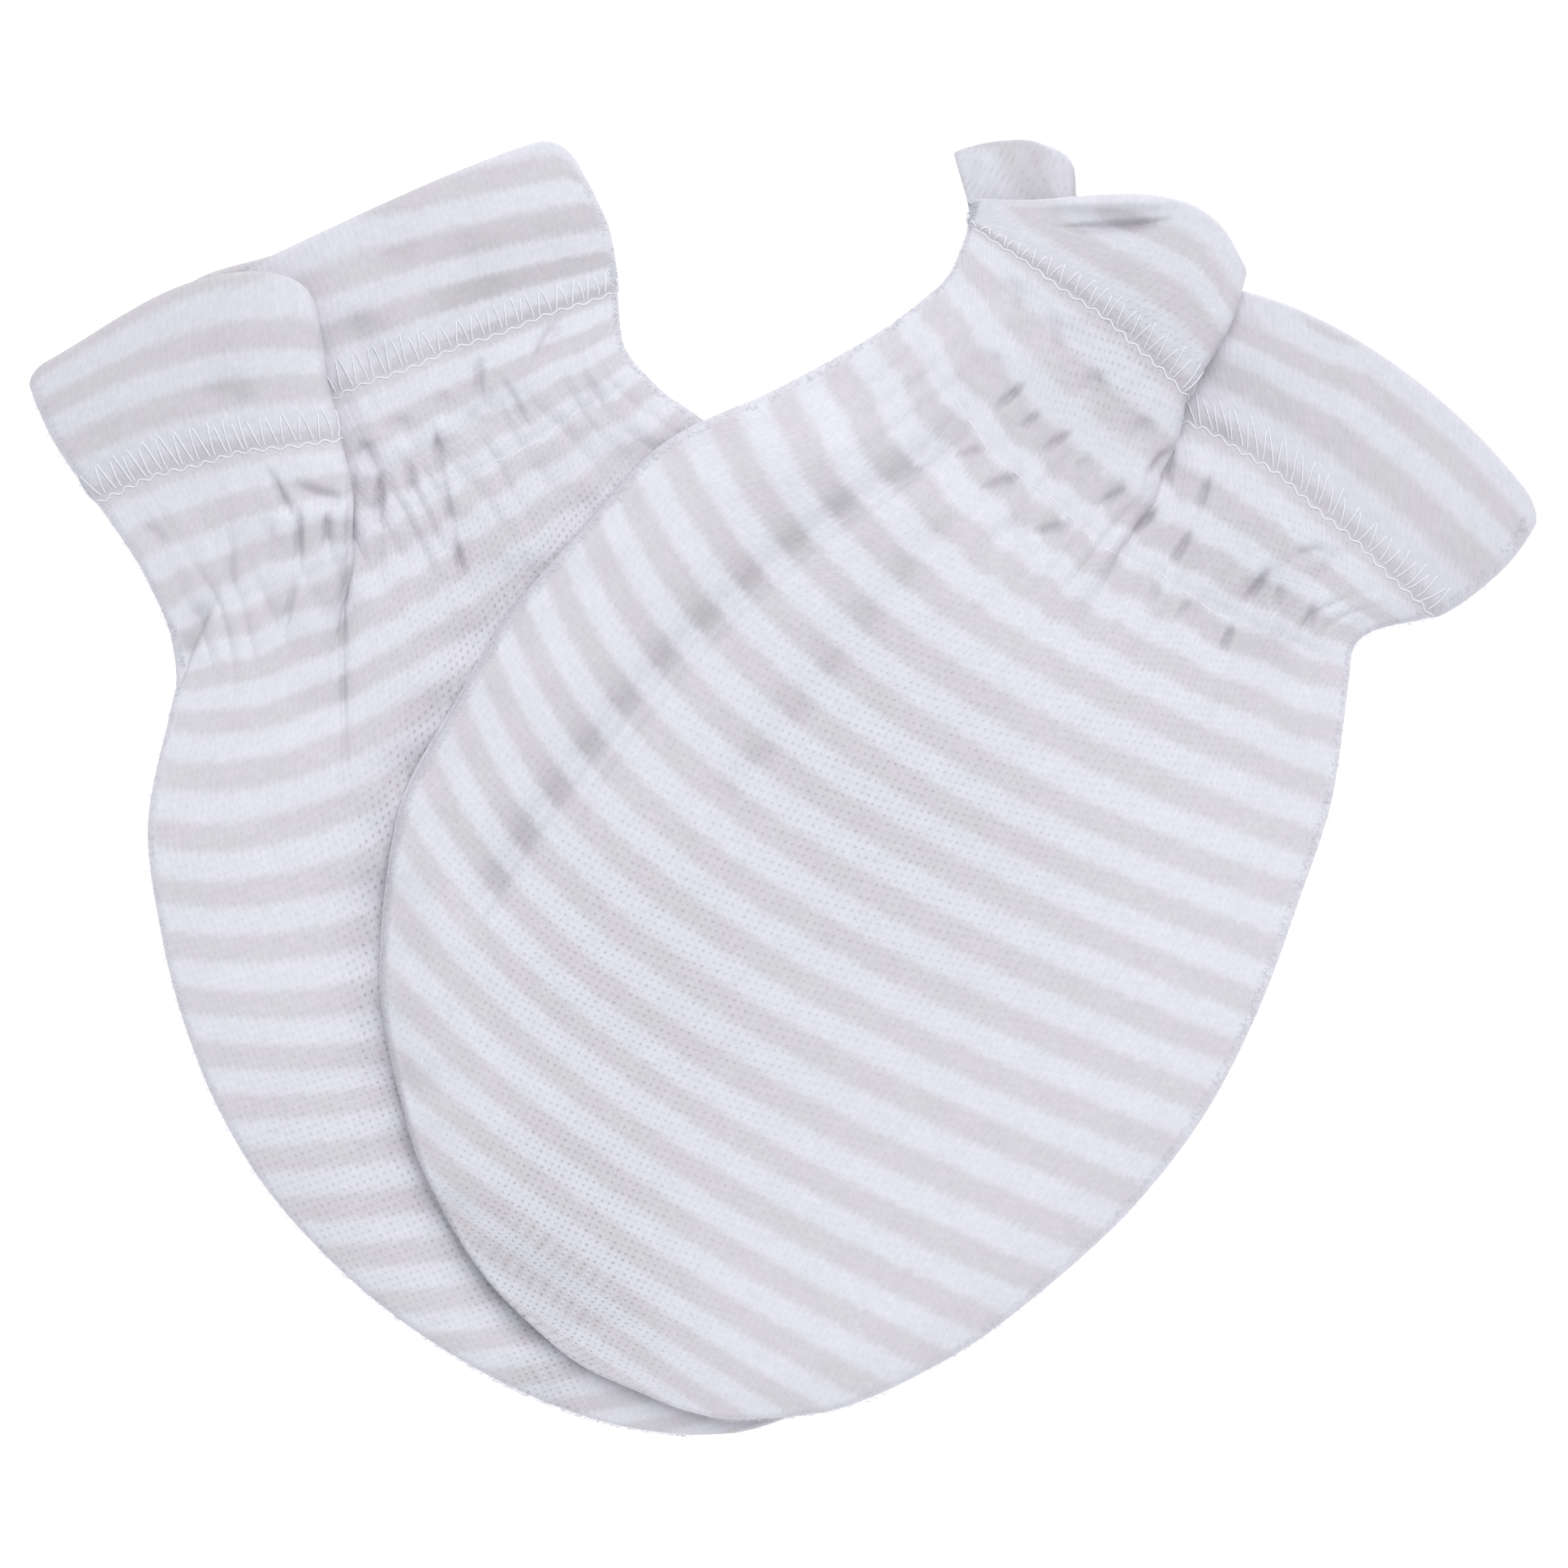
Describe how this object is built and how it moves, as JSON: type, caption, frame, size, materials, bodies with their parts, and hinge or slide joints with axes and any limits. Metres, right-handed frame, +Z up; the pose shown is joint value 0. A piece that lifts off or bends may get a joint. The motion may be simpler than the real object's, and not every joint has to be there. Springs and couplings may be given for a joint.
{
  "type": "pair of baby mittens",
  "caption": "Pair of thumbless newborn mittens in striped cotton knit, laid flat with one lying over the other, with gathered wrists and flared, hemmed frills.",
  "frame": {"origin": "middle of the pair's outline, on the surface it lies on", "axes": "+Z up off the surface, +X from the left mitten to the right one, fingertips towards -Y, frills towards +Y"},
  "size_m": [0.1374, 0.1175, 0.0091],
  "materials": {
    "striped_jersey": "matt cotton jersey, white with soft grey stripes",
    "sewing_thread": "white polyester sewing thread"
  },
  "bodies": {
    "root": {"left_lower_panel": "striped_jersey", "left_upper_panel": "striped_jersey", "right_lower_panel": "striped_jersey", "right_upper_panel": "striped_jersey"}
  },
  "joints": []
}
